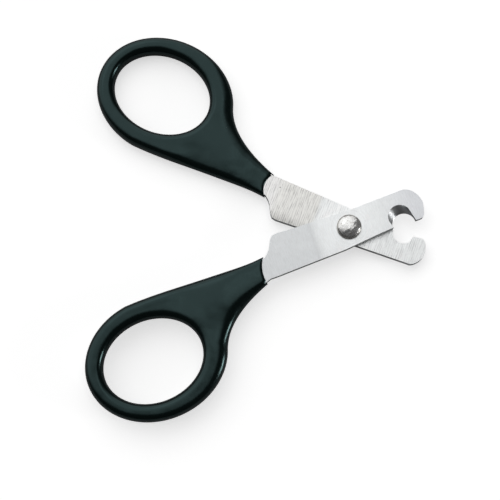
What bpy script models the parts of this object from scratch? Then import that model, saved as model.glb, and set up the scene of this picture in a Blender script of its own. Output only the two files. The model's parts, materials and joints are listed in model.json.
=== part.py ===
"""Scissor nail clipper for small pets: two stamped steel levers with dipped vinyl grips on one rivet.

Both levers are drawn once, in a lever's own plane: the origin is the pivot axis, +X points to the
blade's tip and +Y to the side that the handle's inner edge is on. The front lever is that drawing
turned by half of the opening angle, and the rear lever is the same drawing turned over about X.
In the world, the pivot axis is Z, the tips point to +X and the rivet's tail rests on Z = 0.
"""

import math

import bmesh
import bpy
from mathutils import Vector
from mathutils.geometry import interpolate_bezier

MM = 0.001

# Heights, in millimetres above the plane that the clipper rests on
MATING_Z = 3.6
BLADE_GAP = 0.1
STEEL_THICKNESS = 2.0
STEEL_MIDDLE = BLADE_GAP + STEEL_THICKNESS / 2

# Half of the angle between the levers as modelled, in degrees
HALF_OPENING = 19.6

# Handle coat: the ring's outer ellipse and the finger opening, in the lever's plane
RING_CENTRE = (-56.0, -16.1)
RING_RADII = (18.05, 15.2)
RING_TILT = 4.3
OPENING_CENTRE = (-56.9, -16.35)
OPENING_RADII = (12.7, 10.2)
OPENING_TILT = 5.0
RING_FIRST_ANGLE = 97.0
RING_LAST_ANGLE = 341.5
NECK_END_X = -20.0
COAT_HALF_THICKNESS = 2.5
COAT_MOUTH_HALF_THICKNESS = 1.5
TAPER_START_X = -36.0
MOUTH_X = -22.6
OUTER_ROUNDING = 1.9
MOUTH_ROUNDING = 0.7
OPENING_ROUNDING = 2.3
ROUNDING_POWER = 2.4
ROUNDING_STEPS = 4

# The coat's concave mouth: the arc's radius and its deepest point
FRONT_MOUTH = (8.25, -24.25, -4.95)
REAR_MOUTH = (4.7, -23.85, -3.35)
MOUTH_CUT_BOTTOM = -2.0
MOUTH_CUT_TOP = 4.0

# Steel inside the coat
CORE_INSET = 1.3
CORE_MOUTH_INSET = 0.45
CORE_CLEARANCE = 0.15
CORE_END_X = -22.3

# Blade
HOLE_RADIUS = 2.1
CUTTING_EDGE = ((-20.5, -6.15), (-2.5, -5.17), (7.0, -4.0))
SHOULDER = ((-21.5, 0.3), (-20.9, 1.1), (-20.4, 2.1), (-19.85, 3.2), (-19.15, 4.05), (-18.0, 4.3), (-13.0, 4.15))
FRONT_BACK = (1.5, 4.1)
REAR_BACK = (1.5, 3.45)

# The head, round from the hook to the back, as two curves: end, two handles, tip, two handles, end
FRONT_HEAD = ((18.2, -3.6), (18.9, -3.5), (19.3, -2.2), (19.72, -0.1), (19.72, 2.0), (18.2, 4.9), (15.4, 4.8))
REAR_HEAD = ((18.4, -4.15), (19.3, -3.9), (20.15, -2.3), (20.15, -0.3), (20.15, 1.0), (18.3, 3.4), (17.0, 3.1))

# The claw notch: its centre and radius on the mating face, and how far it leans by the outer face
FRONT_NOTCH = (13.6, -3.7, 3.0)
REAR_NOTCH = (13.35, -3.85, 2.65)
NOTCH_LEAN = (-0.55, 2.15)
NOTCH_FACE_ANGLES = (180.0, 0.0)
NOTCH_OUTER_ANGLES = (190.0, 25.0)

# Rivet and washer
HEAD_RADIUS = 3.1
HEAD_BOTTOM = 5.85
HEAD_RIM = 0.35
HEAD_DOME = 1.3
SHANK_RADIUS = 2.0
TAIL_RADIUS = 2.9
TAIL_EDGE = 0.25
TAIL_HEIGHT = 0.7
WASHER_RADIUS = 3.6
WASHER_BOTTOM = 0.9
WASHER_TOP = 1.3

RING_STEPS = 44
NECK_STEPS = 12
EDGE_STEPS = 10
OPENING_STEPS = 44
HOLE_STEPS = 32
NOTCH_STEPS = 20
HOOK_STEPS = 6
CORNER_STEPS = 8
MOUTH_STEPS = 64
TURNED_STEPS = 40
DOME_STEPS = 7


def material(name, colour, roughness, metallic):
    """A plain Principled material."""
    made = bpy.data.materials.new(name)
    made.use_nodes = True
    shader = made.node_tree.nodes["Principled BSDF"]
    shader.inputs["Base Color"].default_value = (*colour, 1.0)
    shader.inputs["Roughness"].default_value = roughness
    shader.inputs["Metallic"].default_value = metallic
    made.diffuse_color = (*colour, 1.0)
    return made


def ellipse_point(centre, radii, tilt, angle):
    """The point of a tilted ellipse at an angle, both in degrees."""
    turned = math.radians(tilt)
    along = radii[0] * math.cos(math.radians(angle))
    across = radii[1] * math.sin(math.radians(angle))
    return Vector((
        centre[0] + along * math.cos(turned) - across * math.sin(turned),
        centre[1] + along * math.sin(turned) + across * math.cos(turned),
    ))


def bezier(start, start_handle, end_handle, end, steps):
    """Points of one cubic curve in the plane, without its first point."""
    corners = [Vector((*point, 0.0)) for point in (start, start_handle, end_handle, end)]
    return [point.to_2d() for point in interpolate_bezier(*corners, steps + 1)][1:]


def grip_edge():
    """The coat's outer edge, from past the mouth along the inner side, round the ring and back."""
    turn = (RING_LAST_ANGLE - RING_FIRST_ANGLE) / RING_STEPS
    ring = [
        ellipse_point(RING_CENTRE, RING_RADII, RING_TILT, RING_FIRST_ANGLE + turn * step)
        for step in range(RING_STEPS + 1)
    ]
    mouth_top = Vector((NECK_END_X, 0.3))
    edge = [mouth_top]
    edge += bezier(mouth_top, (-25.5, -0.95), (-28.0, -0.85), (-36.0, -0.85), EDGE_STEPS)
    edge += bezier(edge[-1], (-46.0, -0.85), (-52.5, -0.6), ring[0], EDGE_STEPS)
    edge += ring[1:]
    edge += bezier(ring[-1], (-36.85, -14.1), (-30.85, -9.3), (NECK_END_X, -5.7), NECK_STEPS)
    return edge


def opening_edge(inset=0.0):
    """The finger opening's edge, widened by an inset into the coat."""
    radii = (OPENING_RADII[0] + inset, OPENING_RADII[1] + inset)
    return [
        ellipse_point(OPENING_CENTRE, radii, OPENING_TILT, 360.0 * step / OPENING_STEPS)
        for step in range(OPENING_STEPS)
    ]


def inset_points(points, depth_at, closed):
    """Each point moved to the left of its path, by a depth that may change along X."""
    moved = []
    for index, point in enumerate(points):
        before = points[index - 1] if index or closed else point
        after = points[(index + 1) % len(points)] if index < len(points) - 1 or closed else point
        along = (after - before).normalized()
        moved.append(point + depth_at(point.x) * Vector((-along.y, along.x)))
    return moved


def between(start, end, share):
    """A value a share of the way from start to end, the share kept within 0 and 1."""
    return start + (end - start) * min(1.0, max(0.0, share))


def toward_mouth(x):
    """0 on the handle's ring, rising smoothly to 1 at the coat's mouth."""
    share = min(1.0, max(0.0, (x - TAPER_START_X) / (MOUTH_X - TAPER_START_X)))
    return share * share * (3.0 - 2.0 * share)


def coat_half_thickness(x):
    return between(COAT_HALF_THICKNESS, COAT_MOUTH_HALF_THICKNESS, toward_mouth(x))


def outer_rounding(x):
    return between(OUTER_ROUNDING, MOUTH_ROUNDING, toward_mouth(x))


def opening_rounding(_x):
    return OPENING_ROUNDING


def core_inset(x):
    return between(CORE_INSET, CORE_MOUTH_INSET, toward_mouth(x))


def circle_points(centre, radius, steps):
    """A circle's points in the plane."""
    return [ellipse_point(centre, (radius, radius), 0.0, 360.0 * step / steps) for step in range(steps)]


def add_loop(mesh_data, points, heights):
    """A loop of vertices in millimetres, one height for each point."""
    return [mesh_data.verts.new((*point, height)) for point, height in zip(points, heights)]


def loop_edges(mesh_data, loop):
    """The edges that close a loop, those that exist already included."""
    pairs = [(loop[index - 1], vertex) for index, vertex in enumerate(loop)]
    return [mesh_data.edges.get(pair) or mesh_data.edges.new(pair) for pair in pairs]


def join_loops(mesh_data, first, second):
    """A strip of quads between two loops with as many vertices each."""
    for index in range(len(first)):
        mesh_data.faces.new((first[index - 1], first[index], second[index], second[index - 1]))


def fill_between(mesh_data, loops):
    """Fill the area inside the first loop and outside the others."""
    edges = [edge for loop in loops for edge in loop_edges(mesh_data, loop)]
    bmesh.ops.triangle_fill(mesh_data, use_beauty=True, edges=edges)


def prism(lower_outlines, upper_outlines, bottom, top):
    """A solid between two heights: the first outline is its edge and the others are holes in it."""
    mesh_data = bmesh.new()
    lower = [add_loop(mesh_data, points, [bottom] * len(points)) for points in lower_outlines]
    upper = [add_loop(mesh_data, points, [top] * len(points)) for points in upper_outlines]
    fill_between(mesh_data, lower)
    fill_between(mesh_data, upper)
    for low, high in zip(lower, upper):
        join_loops(mesh_data, low, high)
    return mesh_data


def rounding_shares():
    """Steps across a rounded rim, from its outermost line to the flat: share inward, share upward."""
    shares = []
    for step in range(1, ROUNDING_STEPS + 1):
        angle = 0.5 * math.pi * step / ROUNDING_STEPS
        share_in = 1.0 - math.cos(angle) ** (2.0 / ROUNDING_POWER)
        shares.append((share_in, math.sin(angle) ** (2.0 / ROUNDING_POWER)))
    return shares


def add_rounded_rim(mesh_data, points, rounding_at, side, middle):
    """One half of a rounded rim, from the loop at the coat's middle to the flat, whose loop it gives."""
    previous = middle
    for share_in, share_up in rounding_shares():
        inner = inset_points(points, lambda x: share_in * rounding_at(x), closed=True)
        loop = add_loop(mesh_data, inner, [side * share_up * coat_half_thickness(point.x) for point in inner])
        join_loops(mesh_data, previous, loop)
        previous = loop
    return previous


def coat_solid():
    """The coat about its middle height, whole, and running on past its mouth."""
    mesh_data = bmesh.new()
    outer = grip_edge()
    opening = opening_edge()[::-1]
    outer_middle = add_loop(mesh_data, outer, [0.0] * len(outer))
    opening_middle = add_loop(mesh_data, opening, [0.0] * len(opening))
    for side in (1, -1):
        outer_flat = add_rounded_rim(mesh_data, outer, outer_rounding, side, outer_middle)
        opening_flat = add_rounded_rim(mesh_data, opening, opening_rounding, side, opening_middle)
        fill_between(mesh_data, [outer_flat, opening_flat])
    return mesh_data


def core_edge(clearance):
    """The steel's edge inside the coat, grown by a clearance, from the mouth round to the mouth."""
    return inset_points(grip_edge(), lambda x: core_inset(x) - clearance, closed=False)


def notch_edge(notch, outer):
    """The claw notch's edge at the mating or the outer face, from the cutting edge to the hook."""
    centre_x, centre_y, radius = notch
    near = Vector((centre_x - radius, centre_y))
    far = Vector((centre_x + radius, centre_y))
    centre = Vector((centre_x, centre_y))
    first, last = NOTCH_FACE_ANGLES
    if outer:
        centre += Vector(NOTCH_LEAN)
        first, last = NOTCH_OUTER_ANGLES
    arc = [
        ellipse_point(centre, (radius, radius), 0.0, between(first, last, step / NOTCH_STEPS))
        for step in range(1, NOTCH_STEPS)
    ]
    return [near] + arc + [far]


def blade_edge(head, back, notch, outer):
    """The bare steel's edge, from the coat's mouth along the cutting side, round the head and back."""
    hook, hook_handle, low_handle, tip, high_handle, back_handle, back_end = head
    edge = [Vector(point) for point in CUTTING_EDGE]
    edge += notch_edge(notch, outer)
    edge.append(Vector(hook))
    edge += bezier(hook, hook_handle, low_handle, tip, HOOK_STEPS)
    edge += bezier(tip, high_handle, back_handle, back_end, CORNER_STEPS)
    edge.append(Vector(back))
    edge += [Vector(point) for point in SHOULDER[::-1]]
    return edge


def lever_solid(head, back, notch):
    """One stamped lever: the blade with its slanted notch, the tang, and the loop that the coat covers."""
    core = [point for point in core_edge(0.0) if point.x < CORE_END_X]
    holes = [opening_edge(CORE_INSET), circle_points((0.0, 0.0), HOLE_RADIUS, HOLE_STEPS)]
    mating = [core + blade_edge(head, back, notch, outer=False)] + holes
    outer = [core + blade_edge(head, back, notch, outer=True)] + holes
    return prism(mating, outer, BLADE_GAP, BLADE_GAP + STEEL_THICKNESS)


def to_object(name, mesh_data, parent, finish=None):
    """A mesh in millimetres as an object in metres, under its lever's empty."""
    for vertex in mesh_data.verts:
        vertex.co *= MM
    bmesh.ops.recalc_face_normals(mesh_data, faces=mesh_data.faces)
    mesh = bpy.data.meshes.new(name)
    mesh_data.to_mesh(mesh)
    mesh_data.free()
    made = bpy.data.objects.new(name, mesh)
    bpy.context.scene.collection.objects.link(made)
    made.parent = parent
    if finish:
        mesh.materials.append(finish)
        mesh.shade_smooth()
        mesh.set_sharp_from_angle(angle=math.radians(35.0))
    return made


def cut(target, cutter):
    """Take a cutter's shape out of a piece, and keep the cutter out of the model."""
    cutter.hide_render = True
    cutter.display_type = "WIRE"
    boolean = target.modifiers.new(cutter.name, "BOOLEAN")
    boolean.operation = "DIFFERENCE"
    boolean.solver = "EXACT"
    boolean.object = cutter


def make_blade(name, lever, finish, head, back, notch):
    """A lever's steel."""
    to_object(name, lever_solid(head, back, notch), lever, finish)


def make_grip(name, lever, finish, mouth):
    """A lever's dipped coat: hollow where the steel is, and open at its concave mouth."""
    grip = to_object(name, coat_solid(), lever, finish)
    grip.location.z = STEEL_MIDDLE * MM
    radius, deepest_x, deepest_y = mouth
    mouth_disc = [circle_points((deepest_x + radius, deepest_y), radius, MOUTH_STEPS)]
    mouth_cutter = to_object(name + "_mouth", prism(mouth_disc, mouth_disc, MOUTH_CUT_BOTTOM, MOUTH_CUT_TOP), lever)
    cut(grip, mouth_cutter)
    cavity = [core_edge(CORE_CLEARANCE), opening_edge(CORE_INSET - CORE_CLEARANCE)]
    cavity_bottom = BLADE_GAP - CORE_CLEARANCE
    cavity_top = BLADE_GAP + STEEL_THICKNESS + CORE_CLEARANCE
    core = to_object(name + "_core_space", prism(cavity, cavity, cavity_bottom, cavity_top), lever)
    cut(grip, core)


def turned(name, profile, finish, parent):
    """A round piece about the pivot axis, from its profile of radius and height."""
    mesh_data = bmesh.new()
    points = [mesh_data.verts.new((radius, 0.0, height)) for radius, height in profile]
    edges = [mesh_data.edges.new(pair) for pair in zip(points, points[1:])]
    if profile[0][0] > 0.0:
        edges.append(mesh_data.edges.new((points[-1], points[0])))
    bmesh.ops.spin(
        mesh_data,
        geom=points + edges,
        axis=(0.0, 0.0, 1.0),
        cent=(0.0, 0.0, 0.0),
        steps=TURNED_STEPS,
        angle=2.0 * math.pi,
    )
    bmesh.ops.remove_doubles(mesh_data, verts=mesh_data.verts, dist=0.001)
    return to_object(name, mesh_data, parent, finish)


def make_rivet(finish):
    """The rivet: flat peened tail, shank and domed head."""
    profile = [
        (0.0, 0.0),
        (TAIL_RADIUS - TAIL_EDGE, 0.0),
        (TAIL_RADIUS, TAIL_EDGE),
        (TAIL_RADIUS, TAIL_HEIGHT),
        (SHANK_RADIUS, TAIL_HEIGHT),
        (SHANK_RADIUS, HEAD_BOTTOM),
        (HEAD_RADIUS, HEAD_BOTTOM),
    ]
    for step in range(DOME_STEPS + 1):
        angle = 0.5 * math.pi * step / DOME_STEPS
        height = HEAD_BOTTOM + HEAD_RIM + HEAD_DOME * math.sin(angle)
        profile.append((max(0.0, HEAD_RADIUS * math.cos(angle)) if step < DOME_STEPS else 0.0, height))
    turned("pivot_rivet", profile, finish, None)


def make_washer(finish):
    """The flat burr washer between the rivet's tail and the rear lever."""
    profile = [
        (HOLE_RADIUS, WASHER_BOTTOM),
        (WASHER_RADIUS, WASHER_BOTTOM),
        (WASHER_RADIUS, WASHER_TOP),
        (HOLE_RADIUS, WASHER_TOP),
    ]
    turned("rivet_washer", profile, finish, None)


def make_lever_frame(name, turn_over):
    """The empty that holds a lever: its drawing's plane is the plane where the blades meet."""
    frame = bpy.data.objects.new(name, None)
    bpy.context.scene.collection.objects.link(frame)
    frame.location = (0.0, 0.0, MATING_Z * MM)
    side = -1.0 if turn_over else 1.0
    frame.rotation_euler = (math.pi if turn_over else 0.0, 0.0, side * math.radians(HALF_OPENING))
    return frame


def main():
    for existing in list(bpy.data.objects):
        bpy.data.objects.remove(existing, do_unlink=True)
    steel = material("brushed_stainless", (0.68, 0.69, 0.69), 0.3, 1.0)
    vinyl = material("black_vinyl", (0.012, 0.018, 0.017), 0.22, 0.0)
    chrome = material("bright_rivet_steel", (0.72, 0.72, 0.71), 0.12, 1.0)
    front = make_lever_frame("front_lever_frame", turn_over=False)
    rear = make_lever_frame("rear_lever_frame", turn_over=True)
    make_blade("front_blade", front, steel, FRONT_HEAD, FRONT_BACK, FRONT_NOTCH)
    make_grip("front_grip", front, vinyl, FRONT_MOUTH)
    make_blade("rear_blade", rear, steel, REAR_HEAD, REAR_BACK, REAR_NOTCH)
    make_grip("rear_grip", rear, vinyl, REAR_MOUTH)
    make_rivet(chrome)
    make_washer(steel)


main()
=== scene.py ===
"""The look of a scissor nail clipper: ground steel levers, glossy dipped grips and a bright rivet.

Each lever is drawn in its own plane, in millimetres: the origin is the pivot axis, +X points to the
blade's tip and +Y to the side that the handle's inner edge is on. Z is the height above the plane
where the two blades meet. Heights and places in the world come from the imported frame.
"""

import json
import math

import bmesh
import bpy
from mathutils import Matrix, Vector
from mathutils.geometry import delaunay_2d_cdt, interpolate_bezier


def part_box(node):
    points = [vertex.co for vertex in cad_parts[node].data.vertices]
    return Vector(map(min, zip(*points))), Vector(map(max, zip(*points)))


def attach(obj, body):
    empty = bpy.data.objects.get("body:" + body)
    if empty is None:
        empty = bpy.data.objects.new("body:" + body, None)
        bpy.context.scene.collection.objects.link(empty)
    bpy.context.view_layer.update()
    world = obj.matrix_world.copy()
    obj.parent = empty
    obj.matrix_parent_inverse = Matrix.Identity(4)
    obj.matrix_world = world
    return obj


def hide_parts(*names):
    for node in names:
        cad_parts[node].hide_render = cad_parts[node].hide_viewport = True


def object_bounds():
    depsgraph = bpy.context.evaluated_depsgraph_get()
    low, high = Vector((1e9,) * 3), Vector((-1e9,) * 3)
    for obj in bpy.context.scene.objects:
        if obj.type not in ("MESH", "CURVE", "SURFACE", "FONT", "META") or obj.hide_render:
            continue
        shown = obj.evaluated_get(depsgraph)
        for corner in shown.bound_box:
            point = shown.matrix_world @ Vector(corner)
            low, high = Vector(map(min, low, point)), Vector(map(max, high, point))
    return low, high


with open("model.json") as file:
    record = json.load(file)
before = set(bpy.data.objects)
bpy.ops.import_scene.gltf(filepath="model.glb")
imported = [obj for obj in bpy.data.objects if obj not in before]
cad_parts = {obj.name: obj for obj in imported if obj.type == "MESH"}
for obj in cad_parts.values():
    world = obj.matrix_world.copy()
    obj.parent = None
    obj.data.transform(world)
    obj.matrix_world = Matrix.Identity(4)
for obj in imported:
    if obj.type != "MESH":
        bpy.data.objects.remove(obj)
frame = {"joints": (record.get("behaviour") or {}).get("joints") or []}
cad_low, cad_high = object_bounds()

MM = 0.001

# The lever's drawing, as the CAD has it, in millimetres and degrees
HALF_OPENING = 19.6
RING_CENTRE = (-56.0, -16.1)
RING_RADII = (18.05, 15.2)
RING_TILT = 4.3
RING_FIRST_ANGLE = 97.0
RING_LAST_ANGLE = 341.5
OPENING_CENTRE = (-56.9, -16.35)
OPENING_RADII = (12.7, 10.2)
OPENING_TILT = 5.0
NECK_END_X = -20.0
MOUTH_X = -22.6
TAPER_START_X = -36.0
INNER_EDGE_AT_MOUTH_Y = 0.3
INNER_NECK = ((-25.5, -0.95), (-28.0, -0.85), (-36.0, -0.85))
INNER_HANDLE = ((-46.0, -0.85), (-52.5, -0.6))
OUTER_NECK = ((-36.85, -14.1), (-30.85, -9.3))
OUTER_EDGE_AT_MOUTH_Y = -5.7
CORE_INSET = 1.3
CORE_MOUTH_INSET = 0.45
CORE_CLEARANCE = 0.1
CORE_END_X = -22.3
MOUTH_HALF_THICKNESS = 1.5

# The coat's mouth: its curve's radius, and the X and Y of its deepest point
FRONT_MOUTH = (8.25, -24.25, -4.95)
REAR_MOUTH = (4.7, -23.85, -3.35)

# The steel's edge outside the coat, but for the head
CUTTING_EDGE = ((-20.5, -6.15), (-2.5, -5.17), (7.0, -4.0))
SHOULDER = (
    (-21.5, 0.3),
    (-20.9, 1.1),
    (-20.4, 2.1),
    (-19.85, 3.2),
    (-19.15, 4.05),
    (-18.0, 4.3),
    (-13.0, 4.15),
)
FRONT_BACK = (1.5, 4.1)
REAR_BACK = (1.5, 3.45)

# The head, round from the hook to the back, as two curves: end, two handles, tip, two handles, end
FRONT_HEAD = (
    (18.2, -3.6),
    (18.9, -3.5),
    (19.3, -2.2),
    (19.72, -0.1),
    (19.72, 2.0),
    (18.2, 4.9),
    (15.4, 4.8),
)
REAR_HEAD = (
    (18.4, -4.15),
    (19.3, -3.9),
    (20.15, -2.3),
    (20.15, -0.3),
    (20.15, 1.0),
    (18.3, 3.4),
    (17.0, 3.1),
)

# The claw notch: its centre and radius on the mating face, and how far it leans by the outer face
FRONT_NOTCH = (13.6, -3.7, 3.0)
REAR_NOTCH = (13.35, -3.85, 2.65)
NOTCH_LEAN = (-0.55, 2.15)
NOTCH_FACE_ANGLES = (180.0, 0.0)
NOTCH_OUTER_ANGLES = (190.0, 25.0)
HOLE_RADIUS = 2.1

# The coat's rim, which is broad on the neck's outer side and ends just past the mouth
OUTER_SIDE_START_Y = -3.0
OUTER_SIDE_FULL_Y = -6.0
NECK_START_X = -47.0
NECK_FULL_X = -38.0
RIM_GONE_X = NECK_END_X - 0.2
RIM_WHOLE_X = NECK_END_X - 1.4
OUTER_ROUNDING = 1.9
NECK_ROUNDING = 3.6
MOUTH_ROUNDING = 0.8
NECK_MOUTH_ROUNDING = 1.3
OPENING_ROUNDING = 1.95
ROUNDING_POWER = 2.25

# The coat's flats: the crown of the web and the neck, the lip at the mouth and the dish between the rims
CROWN_SLOPE = 0.2
CROWN_LOST_AT_MOUTH = 0.35
NECK_MIDDLE_Y = -3.4
NECK_MIDDLE_SLOPE = 0.31
NECK_HALF_WIDTH = 2.8
NECK_FLARE = 0.3
CROWN_START_X = -50.0
CROWN_FULL_X = -40.0
CROWN_LOW_Y = -17.0
CROWN_HIGH_Y = -10.0
LIP_WIDTH = 0.9
LIP_HALF_THICKNESS = 1.12
WEB_DISH = 0.06
WEB_DISH_WIDTH = 3.5

# The cutters: half the height of the one at the mouth, and the gap left above and below the steel
MOUTH_CUTTER_HALF = 3.0
CORE_GAP = 0.03

# How finely the surfaces are cut up, and how close to each other two points count as one
RING_STEPS = 150
EDGE_STEPS = 40
NECK_STEPS = 48
OPENING_STEPS = 180
ROUNDING_STEPS = 11
FILL_SPACING = 0.75
FILL_ROW_SHARE = 0.87
FILL_WIDTH = 58.0
FILL_HEIGHT = 36.0
FILL_RIM_GAP = 0.12
LIP_FILL_WIDTH = 1.6
LIP_FILL_GAPS = (0.0, 0.05, 0.12, 0.22, 0.35, 0.5, 0.7, 0.95, 1.3)
LIP_FILL_STEPS_PER_MM = 24
MOUTH_STEPS = 240
CORE_OPENING_STEPS = 96
NOTCH_STEPS = 56
CORNER_STEPS = 14
HOLE_STEPS = 72
TURNED_STEPS = 96
TAIL_STEPS = 6
TAIL_TOP_STEPS = 3
HEAD_CORNER_STEPS = 5
DOME_STEPS = 26
WASHER_CORNER_STEPS = 4
MERGE_DISTANCE = 0.001
FILL_TOLERANCE = 1e-7

# Where edges stay sharp, in degrees, and how far the blades' edges are broken
BLADE_SHARP_ANGLE = 30.0
COAT_SHARP_ANGLE = 40.0
TURNED_SHARP_ANGLE = 50.0
BROKEN_EDGE_ANGLE = 32.0
BROKEN_EDGE_WIDTH = 0.07
BROKEN_EDGE_SEGMENTS = 2

# The rivet's and the washer's profiles
TAIL_RADIUS = 2.9
TAIL_ROUNDING = 0.35
TAIL_TOP_ROUNDING = 0.12
TAIL_TO_WASHER = 0.2
SHANK_RADIUS = 2.0
HEAD_TO_STEEL = 0.04
HEAD_RIM_HEIGHT = 0.4
HEAD_ROUNDING = 0.14
DOME_LAST_ANGLE = 88.0
WASHER_ROUNDING = 0.1

# Noise: its scales are per millimetre along X, Y and Z, and most of its values lie in the middle span
MIDDLE_SPAN = (0.3, 0.7)
NOISE_MEAN = 0.5

# Steel, its patterns: grinding lines in radians per millimetre, scratches, satin, mottle and swirls
LINE_TURNS = 12.0
LINE_DRIFT_SCALE = (0.9, 0.10, 0.0)
LINE_DRIFT_TURNS = 14.0
LINE_STRENGTH_SCALE = (1.3, 0.35, 0.0)
LINE_STRENGTH_SPAN = (0.35, 0.7)
LINE_STRENGTH = (0.15, 1.0)
SCRATCH_SCALE = (9.0, 0.3, 0.0)
SCRATCH_SPAN = (0.45, 0.75)
SCRATCH_SHARE = 0.5
SATIN_SCALE = (5.5, 0.5, 0.0)
MOTTLE_SCALE = (0.35, 0.35, 0.35)
SWIRL_TURNS = 2.4

# Steel, where things are: depths under a face, radii from the pivot, and spans of X and Y, each from
# none to whole
FACE_DEPTHS = (0.12, 0.05)
SWIRL_INNER_RADII = (3.2, 4.4)
SWIRL_OUTER_RADII = (8.6, 6.8)
HALO_RADII = (11.0, 5.0)
TANG_SPAN = (-8.4, -9.6)
# A narrow strip of painted shade at the step between the tang's grind and the blade's
BAND_LEFT_SPAN = (-10.6, -9.4)
BAND_RIGHT_SPAN = (-7.0, -8.8)
HEAD_SPAN = (8.0, 18.0)
MOUTH_SPAN = (-18.5, -21.5)
# Painted shade towards the tang's lower edge, across Y
PAINTED_SHOULDER_SHADE_SPAN = (1.6, 4.4)
PIT_PLACE = (-19.85, -3.95)
PIT_SQUARE_SPAN = (0.05, 0.01)

# Steel, its colours, and how much each pattern darkens, lightens or raises it. The darkening at the
# tang's lower edge and at the step between its grinds is painted shade
OUTER_STEEL = (0.90, 0.92, 0.925)
# The outer tang is darker partly by its own grind and partly as painted shade, standing in for its face
# being ground at a slightly different angle, which the flat face here does not have
OUTER_TANG_STEEL_AND_SHADE = (0.79, 0.81, 0.82)
OUTER_HEAD_STEEL = (0.80, 0.815, 0.84)
MATING_STEEL = (0.97, 0.99, 0.99)
MATING_TANG_STEEL = (0.92, 0.915, 0.885)
MATING_MOUTH_STEEL = (0.96, 0.955, 0.945)
LINE_SHADE = 0.24
LINE_SHADE_ON_TANG = 0.16
SATIN_SHADE = 0.10
PAINTED_SHOULDER_SHADE = 0.24
GRIND_STEP_PAINTED_SHADE = 0.06
MOTTLE_SHADE = 0.45
SWIRL_SHADE = 0.25
HALO_LIGHT = 0.07
PIT_SHADE = 0.65
SATIN_HEIGHT = 0.3
SWIRL_HEIGHT = 0.6
STEEL_ROUGHNESS = (0.3, 0.4)
STEEL_BUMP = 0.012

# Vinyl
VINYL_BLACK = (0.0018, 0.0040, 0.0036)
VINYL_TINT = (0.62, 1.0, 1.0, 1.0)
VINYL_ROUGHNESS = (0.17, 0.24)
VINYL_BUMP = 0.12
WAVE_SCALE = (0.22, 0.22, 0.22)
SKIN_SCALE = (1.6, 1.6, 1.6)
SKIN_HEIGHT = 0.06
SPECKS_PER_MM = 0.22
SPECK_RADIUS = 0.16
SPECK_SHARE = 0.5
SPECK_COLOUR = (0.07, 0.085, 0.08)

# Rivet and washer
DENT_SCALE = (0.7, 0.7, 0.7)
WEAR_SCALE = (1.9, 1.9, 1.9)
WEAR_SPAN = (0.52, 0.68)
RIVET_BRIGHT = (0.88, 0.88, 0.87)
RIVET_WORN = (0.50, 0.47, 0.44)
# Painted shade round the edge of the rivet's head and tail
RIVET_RIM_PAINTED_SHADE = (0.52, 0.50, 0.47)
RIVET_RIM_SHADE_RADII = (2.55, 2.95)
RIVET_ROUGHNESS = (0.18, 0.32)
RIVET_METALLIC = 0.85
RIVET_BUMP = 0.2
GRAIN_SCALE = (3.0, 3.0, 3.0)
WASHER_DARK = (0.50, 0.50, 0.49)
WASHER_LIGHT = (0.62, 0.62, 0.61)
WASHER_ROUGHNESS = (0.3, 0.42)
WASHER_BUMP = 0.01

# The floor: its size in metres, and its white as the camera sees it and as the clipper does
FLOOR_SIZE = 4.0
FLOOR_SEEN = 0.8
FLOOR_GLOW = 0.62
FLOOR_MIRRORED = 0.4

# The room: where its light comes from, how bright it is there, how dim elsewhere and where one turns
# into the other, as cosines from that direction. A softbox has a name, a place, a size and a power.
SKY_DIRECTION = (-0.45, 0.75, 0.5)
SKY_BRIGHT = 1.02
SKY_DIM = 0.045
SKY_EDGE = (0.36, 0.71)
SOFTBOXES = (
    ("key", (-0.35, 0.55, 0.75), 0.5, 0.35),
    ("overhead", (0.15, 0.13, 0.78), 0.3, 0.16),
    ("rim", (0.6, -0.12, 0.16), 0.16, 0.9),
)

# The camera: millimetres and degrees, but its distance in metres. Its target is to the left of the
# pivot and nearer than it.
CAMERA_SENSOR = 36.0
CAMERA_LENS = 100.8
CAMERA_DISTANCE = 0.3524
CAMERA_TILT = 10.4
CAMERA_TURN = 1.05
CAMERA_LEFT = 24.86
CAMERA_NEAR = 5.49

mating_z = frame["joints"][0]["pos_m"][2] / MM
blade_low, blade_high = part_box("front_blade")
BLADE_GAP = blade_low.z / MM - mating_z
STEEL_THICKNESS = (blade_high.z - blade_low.z) / MM
STEEL_MIDDLE = BLADE_GAP + STEEL_THICKNESS / 2
grip_low, grip_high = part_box("front_grip")
COAT_HALF_THICKNESS = (grip_high.z - grip_low.z) / MM / 2


# ---------------------------------------------------------------- outlines in the lever's plane


def ellipse_point(centre, radii, tilt, angle):
    """The point of a tilted ellipse at an angle, both in degrees."""
    turned = math.radians(tilt)
    along = radii[0] * math.cos(math.radians(angle))
    across = radii[1] * math.sin(math.radians(angle))
    return Vector((
        centre[0] + along * math.cos(turned) - across * math.sin(turned),
        centre[1] + along * math.sin(turned) + across * math.cos(turned),
    ))


def bezier(start, start_handle, end_handle, end, steps):
    """Points of one cubic curve in the plane, without its first point."""
    corners = [Vector((*point, 0.0)) for point in (start, start_handle, end_handle, end)]
    return [point.to_2d() for point in interpolate_bezier(*corners, steps + 1)][1:]


def grip_edge():
    """The coat's outer edge, from past the mouth along the inner side, round the ring and back."""
    turn = (RING_LAST_ANGLE - RING_FIRST_ANGLE) / RING_STEPS
    ring = [
        ellipse_point(RING_CENTRE, RING_RADII, RING_TILT, RING_FIRST_ANGLE + turn * step)
        for step in range(RING_STEPS + 1)
    ]
    edge = [Vector((NECK_END_X, INNER_EDGE_AT_MOUTH_Y))]
    edge += bezier(edge[0], *INNER_NECK, EDGE_STEPS)
    edge += bezier(edge[-1], *INNER_HANDLE, ring[0], EDGE_STEPS)
    edge += ring[1:]
    edge += bezier(ring[-1], *OUTER_NECK, (NECK_END_X, OUTER_EDGE_AT_MOUTH_Y), NECK_STEPS)
    return edge


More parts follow.
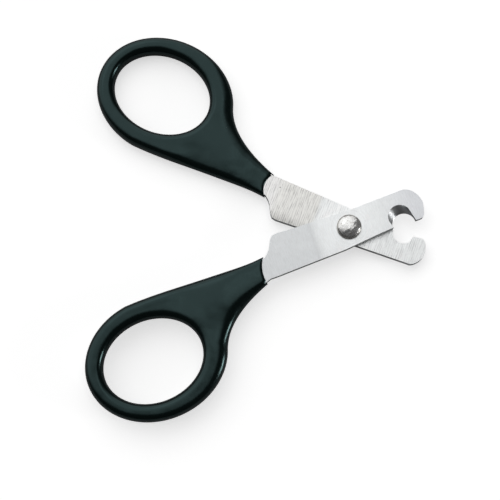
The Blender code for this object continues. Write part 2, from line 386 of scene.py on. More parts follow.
def opening_edge(inset=0.0, steps=OPENING_STEPS):
    """The finger opening's edge, widened by an inset into the coat."""
    radii = (OPENING_RADII[0] + inset, OPENING_RADII[1] + inset)
    return [
        ellipse_point(OPENING_CENTRE, radii, OPENING_TILT, 360.0 * step / steps)
        for step in range(steps)
    ]


def circle_points(centre, radius, steps):
    return [ellipse_point(centre, (radius, radius), 0.0, 360.0 * step / steps) for step in range(steps)]


def inset_points(points, depth_at, closed):
    """Each point moved to the left of its path, by a depth that may change from point to point."""
    moved = []
    for index, point in enumerate(points):
        before = points[index - 1] if index or closed else point
        after = points[(index + 1) % len(points)] if index < len(points) - 1 or closed else point
        along = (after - before).normalized()
        moved.append(point + depth_at(point) * Vector((-along.y, along.x)))
    return moved


def smooth_share(value, start, end):
    """0 at start, 1 at end, easing at both."""
    share = min(1.0, max(0.0, (value - start) / (end - start)))
    return share * share * (3.0 - 2.0 * share)


def mixed(start, end, share):
    return start + (end - start) * share


def toward_mouth(x):
    return smooth_share(x, TAPER_START_X, MOUTH_X)


def core_edge(clearance):
    """The steel's edge inside the coat, grown by a clearance, from the mouth round to the mouth."""
    def depth(point):
        return mixed(CORE_INSET, CORE_MOUTH_INSET, toward_mouth(point.x)) - clearance
    return inset_points(grip_edge(), depth, closed=False)


def notch_edge(notch, outer):
    """The claw notch's edge at the mating or the outer face, from the cutting edge to the hook."""
    centre_x, centre_y, radius = notch
    near = Vector((centre_x - radius, centre_y))
    far = Vector((centre_x + radius, centre_y))
    centre = Vector((centre_x, centre_y))
    first, last = NOTCH_FACE_ANGLES
    if outer:
        centre += Vector(NOTCH_LEAN)
        first, last = NOTCH_OUTER_ANGLES
    arc = [
        ellipse_point(centre, (radius, radius), 0.0, mixed(first, last, step / NOTCH_STEPS))
        for step in range(1, NOTCH_STEPS)
    ]
    return [near] + arc + [far]


def lever_edge(head, back, notch, outer):
    """The steel's whole edge: the core in the coat, the cutting side, the head and the back."""
    hook, hook_handle, low_handle, tip, high_handle, back_handle, back_end = head
    edge = [point for point in core_edge(0.0) if point.x < CORE_END_X]
    edge += [Vector(point) for point in CUTTING_EDGE]
    edge += notch_edge(notch, outer)
    edge.append(Vector(hook))
    edge += bezier(hook, hook_handle, low_handle, tip, CORNER_STEPS)
    edge += bezier(tip, high_handle, back_handle, back_end, CORNER_STEPS)
    edge.append(Vector(back))
    edge += [Vector(point) for point in SHOULDER[::-1]]
    return edge


# ---------------------------------------------------------------- meshes


def add_loop(mesh_data, points, heights):
    return [mesh_data.verts.new((*point, height)) for point, height in zip(points, heights)]


def join_loops(mesh_data, first, second):
    """A strip of quads between two loops with as many vertices each."""
    for index in range(len(first)):
        mesh_data.faces.new((first[index - 1], first[index], second[index], second[index - 1]))


def inside(point, outline):
    """Whether a point is inside a closed outline."""
    crossings = 0
    for index, end in enumerate(outline):
        start = outline[index - 1]
        if (start.y > point.y) != (end.y > point.y):
            share = (point.y - start.y) / (end.y - start.y)
            crossings += point.x < start.x + share * (end.x - start.x)
    return crossings % 2 == 1


def nearest(point, outline):
    return min((point - other).length for other in outline)


def fill(mesh_data, loops, extra=()):
    """Fill the area inside the first loop of vertices and outside the others, using the extra ones too."""
    vertices = [vertex for loop in loops for vertex in loop] + list(extra)
    edges = []
    outlines = []
    start = 0
    for loop in loops:
        edges += [(start + (index - 1) % len(loop), start + index) for index in range(len(loop))]
        outlines.append([vertex.co.to_2d() for vertex in loop])
        start += len(loop)
    flat = [vertex.co.to_2d() for vertex in vertices]
    points, _, faces, origins, _, _ = delaunay_2d_cdt(flat, edges, [], 0, FILL_TOLERANCE)
    for face in faces:
        centre = sum((points[index] for index in face), Vector((0.0, 0.0))) / len(face)
        if inside(centre, outlines[0]) and not any(inside(centre, hole) for hole in outlines[1:]):
            mesh_data.faces.new([vertices[origins[index][0]] for index in face])


def prism(lower_outlines, upper_outlines, bottom, top):
    """A solid between two heights: the first outline is its edge and the others are holes in it."""
    mesh_data = bmesh.new()
    lower = [add_loop(mesh_data, points, [bottom] * len(points)) for points in lower_outlines]
    upper = [add_loop(mesh_data, points, [top] * len(points)) for points in upper_outlines]
    fill(mesh_data, lower)
    fill(mesh_data, upper)
    for low, high in zip(lower, upper):
        join_loops(mesh_data, low, high)
    return mesh_data


def mouth_distance(point, mouth):
    """How far a point of the coat is from its mouth's curve."""
    radius, deepest_x, deepest_y = mouth
    return (point - Vector((deepest_x + radius, deepest_y))).length - radius


def crown_sag(point):
    """How far the web and the neck fall away from their middle line."""
    middle_y = NECK_MIDDLE_Y + NECK_MIDDLE_SLOPE * (point.x - MOUTH_X)
    half_width = NECK_HALF_WIDTH + NECK_FLARE * (MOUTH_X - point.x)
    off_middle = min(1.0, abs(point.y - middle_y) / half_width)
    share = smooth_share(point.x, CROWN_START_X, CROWN_FULL_X)
    share *= smooth_share(point.y, CROWN_LOW_Y, CROWN_HIGH_Y)
    share *= 1.0 - CROWN_LOST_AT_MOUTH * toward_mouth(point.x)
    return share * CROWN_SLOPE * off_middle ** 2 * half_width / 2.0


def coat_half_height(point, share_up, mouth):
    """Half of the coat's thickness at a point, where the rim's rounding reaches a share of the whole."""
    whole = mixed(COAT_HALF_THICKNESS, MOUTH_HALF_THICKNESS, toward_mouth(point.x))
    lip = min(1.0, max(0.0, mouth_distance(point, mouth) / LIP_WIDTH))
    whole = mixed(LIP_HALF_THICKNESS, whole, math.sqrt(1.0 - (1.0 - lip) ** 2))
    return (whole - crown_sag(point)) * share_up


def web_dish(point, rims):
    """How far the flat between the rims has sunk where the coat ran thin as it dried."""
    return WEB_DISH * smooth_share(nearest(point, rims), 0.0, WEB_DISH_WIDTH)


def rounding_shares():
    """Steps across a rounded rim, from its outermost line to the flat: share inward, share upward."""
    shares = []
    for step in range(1, ROUNDING_STEPS + 1):
        angle = 0.5 * math.pi * step / ROUNDING_STEPS
        share_in = 1.0 - math.cos(angle) ** (2.0 / ROUNDING_POWER)
        shares.append((share_in, math.sin(angle) ** (2.0 / ROUNDING_POWER)))
    return shares


def outer_rounding(point):
    """The rim's width: broad on the neck's outer side, and none past the mouth."""
    outer_side = smooth_share(point.y, OUTER_SIDE_START_Y, OUTER_SIDE_FULL_Y)
    neck = smooth_share(point.x, NECK_START_X, NECK_FULL_X) * outer_side
    at_mouth = mixed(MOUTH_ROUNDING, NECK_MOUTH_ROUNDING, outer_side)
    whole = mixed(mixed(OUTER_ROUNDING, NECK_ROUNDING, neck), at_mouth, toward_mouth(point.x))
    return whole * smooth_share(point.x, RIM_GONE_X, RIM_WHOLE_X)


def opening_rounding(_):
    """The finger opening's rim is as wide all round."""
    return OPENING_ROUNDING


def fill_points(outer, opening, mouth):
    """Points spread over the coat's flat, clear of its rims, closer together at the mouth's lip."""
    rims = outer + opening
    low_x = min(point.x for point in outer)
    low_y = min(point.y for point in outer)
    rows = int(FILL_HEIGHT / FILL_SPACING)
    columns = int(FILL_WIDTH / FILL_SPACING)
    candidates = [
        Vector((
            low_x + FILL_SPACING * (column + 0.5 * (row % 2)),
            low_y + FILL_SPACING * FILL_ROW_SHARE * row,
        ))
        for row in range(rows) for column in range(columns)
    ]
    candidates = [point for point in candidates if mouth_distance(point, mouth) > LIP_FILL_WIDTH]
    radius, deepest_x, deepest_y = mouth
    steps = int(radius * LIP_FILL_STEPS_PER_MM)
    for gap in LIP_FILL_GAPS:
        around = circle_points((deepest_x + radius, deepest_y), radius + gap, steps)
        candidates += [point for point in around if point.x < deepest_x + radius]
    return [
        point for point in candidates
        if inside(point, outer) and not inside(point, opening) and nearest(point, rims) > FILL_RIM_GAP
    ]


def coat_solid(mouth):
    """The coat about its middle height, running on past its mouth: its rims and its two flats."""
    mesh_data = bmesh.new()
    rims = ((grip_edge(), outer_rounding), (opening_edge()[::-1], opening_rounding))
    middles = [add_loop(mesh_data, points, [0.0] * len(points)) for points, _ in rims]
    for side in (1, -1):
        flats = []
        for (points, rounding_at), middle in zip(rims, middles):
            previous = middle
            for share_in, share_up in rounding_shares():
                inner = inset_points(points, lambda point: share_in * rounding_at(point), closed=True)
                heights = [side * coat_half_height(point, share_up, mouth) for point in inner]
                loop = add_loop(mesh_data, inner, heights)
                join_loops(mesh_data, previous, loop)
                previous = loop
            flats.append(previous)
        outer, opening = [[vertex.co.to_2d() for vertex in loop] for loop in flats]
        extra = []
        for point in fill_points(outer, opening, mouth):
            height = coat_half_height(point, 1.0, mouth) - web_dish(point, outer + opening)
            extra.append(mesh_data.verts.new((*point, side * height)))
        fill(mesh_data, flats, extra)
    return mesh_data


def to_object(name, mesh_data, placing):
    """A mesh drawn in millimetres, laid in its place in the world, as an object in metres."""
    for vertex in mesh_data.verts:
        vertex.co = placing @ (vertex.co * MM)
    bmesh.ops.recalc_face_normals(mesh_data, faces=mesh_data.faces)
    mesh = bpy.data.meshes.new(name)
    mesh_data.to_mesh(mesh)
    mesh_data.free()
    made = bpy.data.objects.new(name, mesh)
    bpy.context.scene.collection.objects.link(made)
    return made


def smooth(piece, sharp_angle):
    piece.data.shade_smooth()
    piece.data.set_sharp_from_angle(angle=math.radians(sharp_angle))


def apply_modifiers(piece):
    """Replace a piece's mesh by what its modifiers make of it."""
    graph = bpy.context.evaluated_depsgraph_get()
    made = bpy.data.meshes.new_from_object(piece.evaluated_get(graph))
    old = piece.data
    piece.modifiers.clear()
    piece.data = made
    bpy.data.meshes.remove(old)


def cut(piece, cutter):
    """Take a cutter's shape out of a piece, and delete the cutter."""
    boolean = piece.modifiers.new("cut", "BOOLEAN")
    boolean.operation = "DIFFERENCE"
    boolean.solver = "EXACT"
    boolean.object = cutter
    bpy.context.view_layer.update()
    apply_modifiers(piece)
    bpy.data.objects.remove(cutter, do_unlink=True)


def clean(piece):
    """Merge the near-double points that a cut leaves, and take out shrunken and folded faces."""
    mesh_data = bmesh.new()
    mesh_data.from_mesh(piece.data)
    bmesh.ops.remove_doubles(mesh_data, verts=mesh_data.verts, dist=MERGE_DISTANCE * MM)
    bmesh.ops.dissolve_degenerate(mesh_data, edges=mesh_data.edges, dist=MERGE_DISTANCE * MM)
    bmesh.ops.triangulate(mesh_data, faces=mesh_data.faces)
    faces_on = {}
    for face in mesh_data.faces:
        faces_on.setdefault(frozenset(face.verts), []).append(face)
    folded = [face for faces in faces_on.values() if len(faces) > 1 for face in faces]
    bmesh.ops.delete(mesh_data, geom=folded, context="FACES")
    mesh_data.to_mesh(piece.data)
    mesh_data.free()


def break_edges(piece):
    """Break a piece's sharp edges lightly."""
    bevel = piece.modifiers.new("edges", "BEVEL")
    bevel.width = BROKEN_EDGE_WIDTH * MM
    bevel.segments = BROKEN_EDGE_SEGMENTS
    bevel.limit_method = "ANGLE"
    bevel.angle_limit = math.radians(BROKEN_EDGE_ANGLE)
    bevel.harden_normals = True


# ---------------------------------------------------------------- pieces


def lever_placing(turn_over):
    """Where a lever's drawing lies in the world."""
    side = -1.0 if turn_over else 1.0
    flip = Matrix.Rotation(math.pi if turn_over else 0.0, 4, "X")
    turn = Matrix.Rotation(side * math.radians(HALF_OPENING), 4, "Z")
    return Matrix.Translation((0.0, 0.0, mating_z * MM)) @ turn @ flip


def make_blade(node, body, placing, head, back, notch):
    """A lever's steel: one stamping with a slanted claw notch and lightly broken edges."""
    finger_hole = opening_edge(CORE_INSET, CORE_OPENING_STEPS)
    holes = [finger_hole, circle_points((0.0, 0.0), HOLE_RADIUS, HOLE_STEPS)]
    mating = [lever_edge(head, back, notch, outer=False)] + holes
    outer = [lever_edge(head, back, notch, outer=True)] + holes
    solid = prism(mating, outer, BLADE_GAP, BLADE_GAP + STEEL_THICKNESS)
    blade = to_object(node + "_steel", solid, placing)
    smooth(blade, BLADE_SHARP_ANGLE)
    break_edges(blade)
    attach(blade, body)
    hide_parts(node)
    return blade


def make_grip(node, body, placing, mouth):
    """A lever's dipped coat, hollow where the steel is, with a rounded lip at its mouth."""
    raised = placing @ Matrix.Translation((0.0, 0.0, STEEL_MIDDLE * MM))
    grip = to_object(node + "_coat", coat_solid(mouth), raised)
    radius, deepest_x, deepest_y = mouth
    disc = [circle_points((deepest_x + radius, deepest_y), radius, MOUTH_STEPS)]
    past_mouth = prism(disc, disc, -MOUTH_CUTTER_HALF, MOUTH_CUTTER_HALF)
    cut(grip, to_object("mouth_cutter", past_mouth, raised))
    finger_hole = opening_edge(CORE_INSET - CORE_CLEARANCE, CORE_OPENING_STEPS)
    space = [core_edge(CORE_CLEARANCE), finger_hole]
    half = STEEL_THICKNESS / 2 + CORE_GAP
    cut(grip, to_object("core_cutter", prism(space, space, -half, half), raised))
    clean(grip)
    smooth(grip, COAT_SHARP_ANGLE)
    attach(grip, body)
    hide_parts(node)
    return grip


def turned(name, profile):
    """A round piece about the pivot axis, from its profile of radius and height."""
    mesh_data = bmesh.new()
    points = [mesh_data.verts.new((radius, 0.0, height)) for radius, height in profile]
    edges = [mesh_data.edges.new(pair) for pair in zip(points, points[1:])]
    if profile[0][0] > 0.0:
        edges.append(mesh_data.edges.new((points[-1], points[0])))
    bmesh.ops.spin(
        mesh_data,
        geom=points + edges,
        axis=(0.0, 0.0, 1.0),
        cent=(0.0, 0.0, 0.0),
        steps=TURNED_STEPS,
        angle=2.0 * math.pi,
    )
    bmesh.ops.remove_doubles(mesh_data, verts=mesh_data.verts, dist=MERGE_DISTANCE)
    return to_object(name, mesh_data, Matrix.Identity(4))


def arc(centre, radii, first, last, steps):
    """Profile points of an elliptic arc, angles in degrees."""
    angles = [math.radians(mixed(first, last, step / steps)) for step in range(steps + 1)]
    return [(centre[0] + radii[0] * math.cos(a), centre[1] + radii[1] * math.sin(a)) for a in angles]


def lower_corner(radius, bottom, rounding, steps):
    """A rounded corner between a profile's underside and its side."""
    return arc((radius - rounding, bottom + rounding), (rounding, rounding), -90.0, 0.0, steps)


def upper_corner(radius, top, rounding, steps):
    """A rounded corner between a profile's side and its top."""
    return arc((radius - rounding, top - rounding), (rounding, rounding), 0.0, 90.0, steps)


def make_rivet():
    """The rivet: a peened tail with a rounded edge, the shank, and a domed head on a short rim."""
    low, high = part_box("pivot_rivet")
    head_radius = (high.x - low.x) / MM / 2
    top = high.z / MM
    steel_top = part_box("front_blade")[1].z / MM
    washer_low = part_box("rivet_washer")[0].z / MM
    head_bottom = steel_top + HEAD_TO_STEEL
    rim_top = head_bottom + HEAD_RIM_HEIGHT
    tail_top = washer_low - TAIL_TO_WASHER
    profile = [(0.0, 0.0)]
    profile += lower_corner(TAIL_RADIUS, 0.0, TAIL_ROUNDING, TAIL_STEPS)
    profile += upper_corner(TAIL_RADIUS, tail_top, TAIL_TOP_ROUNDING, TAIL_TOP_STEPS)
    profile += [(SHANK_RADIUS, tail_top), (SHANK_RADIUS, head_bottom)]
    profile += lower_corner(head_radius, head_bottom, HEAD_ROUNDING, HEAD_CORNER_STEPS)
    profile += arc((0.0, rim_top), (head_radius, top - rim_top), 0.0, DOME_LAST_ANGLE, DOME_STEPS)
    profile.append((0.0, top))
    rivet = turned("pivot_rivet_turned", profile)
    smooth(rivet, TURNED_SHARP_ANGLE)
    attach(rivet, "rear_lever")
    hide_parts("pivot_rivet")
    return rivet


def make_washer():
    """The burr washer, with softened corners."""
    low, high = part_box("rivet_washer")
    radius = (high.x - low.x) / MM / 2
    bottom = low.z / MM
    top = high.z / MM
    profile = [(HOLE_RADIUS, bottom)]
    profile += lower_corner(radius, bottom, WASHER_ROUNDING, WASHER_CORNER_STEPS)
    profile += upper_corner(radius, top, WASHER_ROUNDING, WASHER_CORNER_STEPS)
    profile.append((HOLE_RADIUS, top))
    washer = turned("rivet_washer_turned", profile)
    smooth(washer, TURNED_SHARP_ANGLE)
    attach(washer, "rear_lever")
    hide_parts("rivet_washer")
    return washer


# ---------------------------------------------------------------- materials


class Nodes:
    """A small helper that adds nodes to a material and links them."""

    def __init__(self, name, placing=None):
        self.material = bpy.data.materials.new(name)
        self.material.use_nodes = True
        self.tree = self.material.node_tree
        self.shader = self.tree.nodes["Principled BSDF"]
        coordinates = self.tree.nodes.new("ShaderNodeTexCoord")
        self.place = coordinates.outputs["Object"]
        if placing is not None:
            self.place = self.drawn_place(placing)

    def drawn_place(self, placing):
        """The place in a lever's own drawing, from its place in the world."""
        back = placing.inverted()
        node = self.tree.nodes.new("ShaderNodeMapping")
        self.feed(node.inputs["Vector"], self.place)
        node.inputs["Location"].default_value = back.translation
        node.inputs["Rotation"].default_value = back.to_euler()
        return node.outputs["Vector"]

    def feed(self, socket, value):
        if isinstance(value, bpy.types.NodeSocket):
            self.tree.links.new(value, socket)
        elif value is not None:
            socket.default_value = value

    def scaled(self, per_mm):
        """Object coordinates in millimetres times a number for each axis."""
        node = self.tree.nodes.new("ShaderNodeMapping")
        self.feed(node.inputs["Vector"], self.place)
        node.inputs["Scale"].default_value = [number / MM for number in per_mm]
        return node.outputs["Vector"]

    def noise_at(self, vector, detail=2.0, roughness=0.5):
        node = self.tree.nodes.new("ShaderNodeTexNoise")
        self.feed(node.inputs["Vector"], vector)
        node.inputs["Scale"].default_value = 1.0
        node.inputs["Detail"].default_value = detail
        node.inputs["Roughness"].default_value = roughness
        return node.outputs["Fac"]

    def noise(self, per_mm, detail=2.0, roughness=0.5):
        return self.noise_at(self.scaled(per_mm), detail, roughness)

    def dots(self, per_mm, radius, share):
        """1 in small round dots, in a share of the cells that they are strewn over."""
        node = self.tree.nodes.new("ShaderNodeTexVoronoi")
        self.feed(node.inputs["Vector"], self.scaled((per_mm, per_mm, per_mm)))
        node.inputs["Scale"].default_value = 1.0
        split = self.tree.nodes.new("ShaderNodeSeparateColor")
        self.feed(split.inputs["Color"], node.outputs["Color"])
        chosen = self.math("LESS_THAN", split.outputs["Red"], share)
        near = self.ramp(node.outputs["Distance"], radius * per_mm, 0.5 * radius * per_mm)
        return self.math("MULTIPLY", near, chosen)

    def math(self, operation, first, second=None, third=None):
        node = self.tree.nodes.new("ShaderNodeMath")
        node.operation = operation
        for socket, value in zip(node.inputs, (first, second, third)):
            self.feed(socket, value)
        return node.outputs[0]

    def product(self, first, *others):
        for value in others:
            first = self.math("MULTIPLY", first, value)
        return first

    def total(self, first, *others):
        for value in others:
            first = self.math("ADD", first, value)
        return first

    def squared_length(self, x, y):
        return self.total(self.product(x, x), self.product(y, y))

    def radius(self, x, y):
        """The distance from the pivot axis."""
        return self.math("SQRT", self.squared_length(x, y))

    def ramp(self, value, start, end, low=0.0, high=1.0):
        """A value carried from start..end to low..high, easing at both ends."""
        node = self.tree.nodes.new("ShaderNodeMapRange")
        node.interpolation_type = "SMOOTHSTEP"
        for name, number in (("From Min", start), ("From Max", end), ("To Min", low), ("To Max", high)):
            node.inputs[name].default_value = number
        self.feed(node.inputs["Value"], value)
        return node.outputs["Result"]

    def blend(self, share, first, second):
        """A colour a share of the way from the first to the second."""
        node = self.tree.nodes.new("ShaderNodeMix")
        node.data_type = "RGBA"
        colours = [socket for socket in node.inputs if socket.type == "RGBA"]
        self.feed(node.inputs[0], share)
        self.feed(colours[0], (*first, 1.0) if isinstance(first, tuple) else first)
        self.feed(colours[1], (*second, 1.0) if isinstance(second, tuple) else second)
        return [socket for socket in node.outputs if socket.type == "RGBA"][0]

    def axes(self):
        """X, Y and Z in millimetres."""
        node = self.tree.nodes.new("ShaderNodeSeparateXYZ")
        self.feed(node.inputs["Vector"], self.scaled((1.0, 1.0, 1.0)))
        return node.outputs["X"], node.outputs["Y"], node.outputs["Z"]

    def scaled_colour(self, colour, shade):
        node = self.tree.nodes.new("ShaderNodeVectorMath")
        node.operation = "SCALE"
        self.feed(node.inputs[0], colour)
        self.feed(node.inputs["Scale"], shade)
        return node.outputs["Vector"]

    def bump(self, height, depth_mm):
        node = self.tree.nodes.new("ShaderNodeBump")
        node.inputs["Strength"].default_value = 1.0
        node.inputs["Distance"].default_value = depth_mm * MM
        self.feed(node.inputs["Height"], height)
        return node.outputs["Normal"]

    def finish(self, colour, roughness, metallic, normal):
        self.feed(self.shader.inputs["Base Color"], colour)
        self.feed(self.shader.inputs["Roughness"], roughness)
        self.shader.inputs["Metallic"].default_value = metallic
        self.feed(self.shader.inputs["Normal"], normal)
        return self.material


def grinding_lines(steel, x):
    """Lines ground across the lever, with their spacing and their strength a little uneven."""
    drift = steel.noise(LINE_DRIFT_SCALE)
    phase = steel.total(steel.product(x, LINE_TURNS), steel.product(drift, LINE_DRIFT_TURNS))
    ridges = steel.math("MULTIPLY_ADD", steel.math("SINE", phase), 0.5, 0.5)
    uneven = steel.noise(LINE_STRENGTH_SCALE, detail=3.0, roughness=0.7)
    strength = steel.ramp(uneven, *LINE_STRENGTH_SPAN, *LINE_STRENGTH)
    scratches = steel.ramp(steel.noise(SCRATCH_SCALE, roughness=0.6), *SCRATCH_SPAN)
    return steel.total(steel.product(ridges, strength), steel.product(scratches, SCRATCH_SHARE))


def turning_marks(steel, radius):
    """Swirls round the rivet, above and below nought."""
    ring = steel.tree.nodes.new("ShaderNodeCombineXYZ")
    steel.feed(ring.inputs["X"], steel.product(radius, SWIRL_TURNS))
    rings = steel.noise_at(ring.outputs["Vector"])
    near = steel.product(steel.ramp(radius, *SWIRL_INNER_RADII), steel.ramp(radius, *SWIRL_OUTER_RADII))
    return steel.product(steel.math("SUBTRACT", rings, NOISE_MEAN), near)


def steel_colour(steel, x, tang, on_mating_face):
    """The steel's colour, which differs between its faces and along the lever. The outer face's
    darker tang is partly its own grind and partly painted shade.
    """
    outer = steel.blend(tang, OUTER_STEEL, OUTER_TANG_STEEL_AND_SHADE)
    outer = steel.blend(steel.ramp(x, *HEAD_SPAN), outer, OUTER_HEAD_STEEL)
    mating = steel.blend(tang, MATING_STEEL, MATING_TANG_STEEL)
    mating = steel.blend(steel.ramp(x, *MOUTH_SPAN), mating, MATING_MOUTH_STEEL)
    return steel.blend(on_mating_face, outer, mating)


def pit_light(steel, x, y, on_mating_face):
    """What is left of the light in a pit in the mating face, near the coat."""
    pit_x = steel.math("SUBTRACT", x, PIT_PLACE[0])
    pit_y = steel.math("SUBTRACT", y, PIT_PLACE[1])
    pit = steel.ramp(steel.squared_length(pit_x, pit_y), *PIT_SQUARE_SPAN)
    return steel.math("MULTIPLY_ADD", steel.product(pit, on_mating_face), -PIT_SHADE, 1.0)


def steel_material(side, placing):
    """Stainless steel: coarse cross-grinding on the mating face, satin outside, swirls at the rivet,
    and painted shade on the tang's mating face towards its lower edge and in a narrow strip where
    the tang's grind meets the blade's.
    """
    steel = Nodes(side + "_stainless_steel", placing)
    x, y, z = steel.axes()
    outer_z = BLADE_GAP + STEEL_THICKNESS
    on_mating_face = steel.ramp(z, *(BLADE_GAP + depth for depth in FACE_DEPTHS))
    on_outer_face = steel.ramp(z, *(outer_z - depth for depth in FACE_DEPTHS))
    radius = steel.radius(x, y)
    lines = steel.product(grinding_lines(steel, x), on_mating_face)
    fine = steel.noise(SATIN_SCALE, detail=3.0, roughness=0.6)
    satin = steel.product(steel.ramp(fine, *MIDDLE_SPAN), on_outer_face)
    mottle = steel.noise(MOTTLE_SCALE, detail=4.0, roughness=0.6)
    swirl = turning_marks(steel, radius)
    tang = steel.ramp(x, *TANG_SPAN)
    # Painted shade, partly a real grind line: a narrow darker strip across the steel where the tang's
    # grind meets the blade's, for the small step between them that the flat steel lacks
    grind_step_shade = steel.product(steel.ramp(x, *BAND_LEFT_SPAN), steel.ramp(x, *BAND_RIGHT_SPAN))
    # Painted shade: the tang's mating face is darkened towards its lower edge, standing in for the shade
    # on the real rounded edge there
    shoulder_painted_shade = steel.product(steel.ramp(y, *PAINTED_SHOULDER_SHADE_SPAN), tang, on_mating_face)

    line_shade = steel.math("MULTIPLY_ADD", tang, LINE_SHADE_ON_TANG, LINE_SHADE)
    shade = steel.math("SUBTRACT", 1.0, steel.product(lines, line_shade))
    shade = steel.math("SUBTRACT", shade, steel.product(satin, SATIN_SHADE))
    shade = steel.math("SUBTRACT", shade, steel.product(shoulder_painted_shade, PAINTED_SHOULDER_SHADE))
    shade = steel.math("SUBTRACT", shade, steel.product(grind_step_shade, GRIND_STEP_PAINTED_SHADE))
    mottled = steel.product(steel.math("SUBTRACT", mottle, NOISE_MEAN), MOTTLE_SHADE)
    halo = steel.product(steel.ramp(radius, *HALO_RADII), HALO_LIGHT)
    shade = steel.total(shade, mottled, steel.product(swirl, SWIRL_SHADE), halo)
    shade = steel.product(shade, pit_light(steel, x, y, on_mating_face))
    colour = steel.scaled_colour(steel_colour(steel, x, tang, on_mating_face), shade)

    height = steel.total(lines, steel.product(satin, SATIN_HEIGHT), steel.product(swirl, SWIRL_HEIGHT))
    roughness = steel.ramp(mottle, *MIDDLE_SPAN, *STEEL_ROUGHNESS)
    return steel.finish(colour, roughness, 1.0, steel.bump(height, STEEL_BUMP))


def vinyl_material():
    """Dipped black vinyl: glossy, softly uneven, with a few specks of dust under the skin."""
    vinyl = Nodes("dipped_black_vinyl")
    wave = vinyl.noise(WAVE_SCALE, detail=1.0)
    skin = vinyl.noise(SKIN_SCALE)
    specks = vinyl.dots(SPECKS_PER_MM, SPECK_RADIUS, SPECK_SHARE)
    colour = vinyl.blend(specks, VINYL_BLACK, SPECK_COLOUR)
    height = vinyl.total(wave, vinyl.product(skin, SKIN_HEIGHT))
    roughness = vinyl.ramp(skin, *MIDDLE_SPAN, *VINYL_ROUGHNESS)
    vinyl.shader.inputs["Specular Tint"].default_value = VINYL_TINT
    return vinyl.finish(colour, roughness, 0.0, vinyl.bump(height, VINYL_BUMP))


def rivet_material():
    """Bright rivet steel, dented and worn by the setting tool, with painted shade round the rim of
    its head and its tail.
    """
    rivet = Nodes("bright_rivet")
    x, y, _ = rivet.axes()
    dents = rivet.noise(DENT_SCALE)
    wear = rivet.noise(WEAR_SCALE, detail=4.0, roughness=0.65)
    colour = rivet.blend(rivet.ramp(wear, *WEAR_SPAN), RIVET_BRIGHT, RIVET_WORN)
    # Painted shade: the edge of the head and the tail is darkened, for the rim's side and the shadow where
    # it meets the steel
    colour = rivet.blend(rivet.ramp(rivet.radius(x, y), *RIVET_RIM_SHADE_RADII), colour, RIVET_RIM_PAINTED_SHADE)
    roughness = rivet.ramp(wear, *MIDDLE_SPAN, *RIVET_ROUGHNESS)
    return rivet.finish(colour, roughness, RIVET_METALLIC, rivet.bump(dents, RIVET_BUMP))


def washer_material():
    """Plain washer steel, a little dull."""
    washer = Nodes("washer_steel")
    grain = washer.noise(GRAIN_SCALE, detail=3.0)
    colour = washer.blend(grain, WASHER_DARK, WASHER_LIGHT)
    roughness = washer.ramp(grain, *MIDDLE_SPAN, *WASHER_ROUGHNESS)
    return washer.finish(colour, roughness, 1.0, washer.bump(grain, WASHER_BUMP))


# ---------------------------------------------------------------- floor, light and camera


def make_floor():
    """A plain pale floor under the clipper, whiter to the camera than it is in reflections."""
    bpy.ops.mesh.primitive_plane_add(size=FLOOR_SIZE, location=(0.0, 0.0, cad_low.z))
    floor = bpy.context.object
    floor.name = "floor"
    paper = bpy.data.materials.new("pale_floor")
    paper.use_nodes = True
    tree = paper.node_tree
    tree.nodes.remove(tree.nodes["Principled BSDF"])
    seen = tree.nodes.new("ShaderNodeBsdfDiffuse")
    seen.inputs["Color"].default_value = (FLOOR_SEEN, FLOOR_SEEN, FLOOR_SEEN, 1.0)
    glow = tree.nodes.new("ShaderNodeEmission")
    glow.inputs["Strength"].default_value = FLOOR_GLOW
    both = tree.nodes.new("ShaderNodeAddShader")
    tree.links.new(seen.outputs[0], both.inputs[0])
    tree.links.new(glow.outputs[0], both.inputs[1])
    mirrored = tree.nodes.new("ShaderNodeBsdfDiffuse")
    mirrored.inputs["Color"].default_value = (FLOOR_MIRRORED, FLOOR_MIRRORED, FLOOR_MIRRORED, 1.0)
    mix = tree.nodes.new("ShaderNodeMixShader")
    tree.links.new(tree.nodes.new("ShaderNodeLightPath").outputs["Is Camera Ray"], mix.inputs["Fac"])
    tree.links.new(mirrored.outputs[0], mix.inputs[1])
    tree.links.new(both.outputs[0], mix.inputs[2])
    tree.links.new(mix.outputs[0], tree.nodes["Material Output"].inputs["Surface"])
    floor.data.materials.append(paper)


def add_softbox(name, location, size, power):
    """A square area light that faces the world's origin."""
    data = bpy.data.lights.new(name, "AREA")
    data.shape = "SQUARE"
    data.size = size
    data.energy = power
    lamp = bpy.data.objects.new(name, data)
    bpy.context.scene.collection.objects.link(lamp)
    lamp.location = location
    lamp.rotation_mode = "QUATERNION"
    lamp.rotation_quaternion = (-Vector(location)).to_track_quat("-Z", "Y")


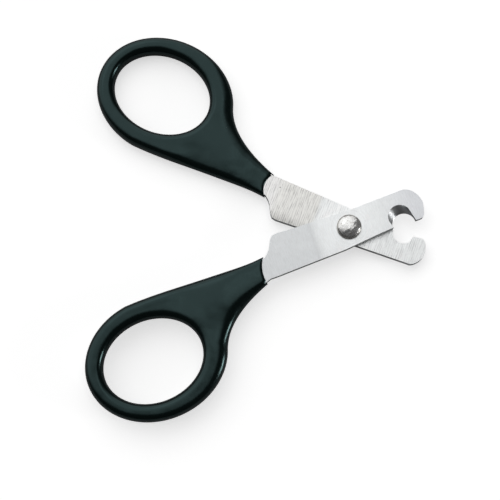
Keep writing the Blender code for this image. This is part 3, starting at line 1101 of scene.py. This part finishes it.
def make_sky():
    """A room that is bright behind the clipper and to its left, and dim on the near side."""
    world = bpy.data.worlds.new("soft_room")
    bpy.context.scene.world = world
    world.use_nodes = True
    tree = world.node_tree
    direction = tree.nodes.new("ShaderNodeTexCoord").outputs["Generated"]
    toward = Vector(SKY_DIRECTION).normalized()
    along = tree.nodes.new("ShaderNodeVectorMath")
    along.operation = "DOT_PRODUCT"
    along.inputs[1].default_value = toward
    tree.links.new(direction, along.inputs[0])
    level = tree.nodes.new("ShaderNodeMapRange")
    level.interpolation_type = "SMOOTHSTEP"
    level.inputs["From Min"].default_value = SKY_EDGE[0]
    level.inputs["From Max"].default_value = SKY_EDGE[1]
    level.inputs["To Min"].default_value = SKY_DIM
    level.inputs["To Max"].default_value = SKY_BRIGHT
    tree.links.new(along.outputs["Value"], level.inputs["Value"])
    background = tree.nodes["Background"]
    background.inputs["Color"].default_value = (1.0, 1.0, 1.0, 1.0)
    tree.links.new(level.outputs["Result"], background.inputs["Strength"])


def make_camera():
    """The camera looks down at a point left of the pivot, tilted a little away from straight above."""
    turn = math.radians(CAMERA_TURN)
    tilt = math.radians(CAMERA_TILT)
    right = Vector((math.cos(turn), math.sin(turn), 0.0))
    far = Vector((-math.sin(turn), math.cos(turn), 0.0))
    back = Vector((0.0, 0.0, 1.0)) * math.cos(tilt) - far * math.sin(tilt)
    up = back.cross(right)
    pivot = Vector(frame["joints"][0]["pos_m"])
    target = pivot - right * CAMERA_LEFT * MM - far * CAMERA_NEAR * MM
    data = bpy.data.cameras.new("camera")
    data.sensor_width = CAMERA_SENSOR
    data.lens = CAMERA_LENS
    camera = bpy.data.objects.new("camera", data)
    bpy.context.scene.collection.objects.link(camera)
    camera.matrix_world = Matrix.Translation(target + back * CAMERA_DISTANCE) @ Matrix((
        (right.x, up.x, back.x, 0.0),
        (right.y, up.y, back.y, 0.0),
        (right.z, up.z, back.z, 0.0),
        (0.0, 0.0, 0.0, 1.0),
    ))
    bpy.context.scene.camera = camera


def main():
    vinyl = vinyl_material()
    levers = (
        ("front", False, FRONT_HEAD, FRONT_BACK, FRONT_NOTCH, FRONT_MOUTH),
        ("rear", True, REAR_HEAD, REAR_BACK, REAR_NOTCH, REAR_MOUTH),
    )
    for side, turn_over, head, back, notch, mouth in levers:
        placing = lever_placing(turn_over)
        body = side + "_lever"
        blade = make_blade(side + "_blade", body, placing, head, back, notch)
        blade.data.materials.append(steel_material(side, placing))
        grip = make_grip(side + "_grip", body, placing, mouth)
        grip.data.materials.append(vinyl)
    rivet = make_rivet()
    rivet.data.materials.append(rivet_material())
    washer = make_washer()
    washer.data.materials.append(washer_material())

    make_floor()
    make_sky()
    for name, location, size, power in SOFTBOXES:
        add_softbox(name, location, size, power)
    make_camera()
    bpy.context.scene.view_settings.view_transform = "Standard"


main()
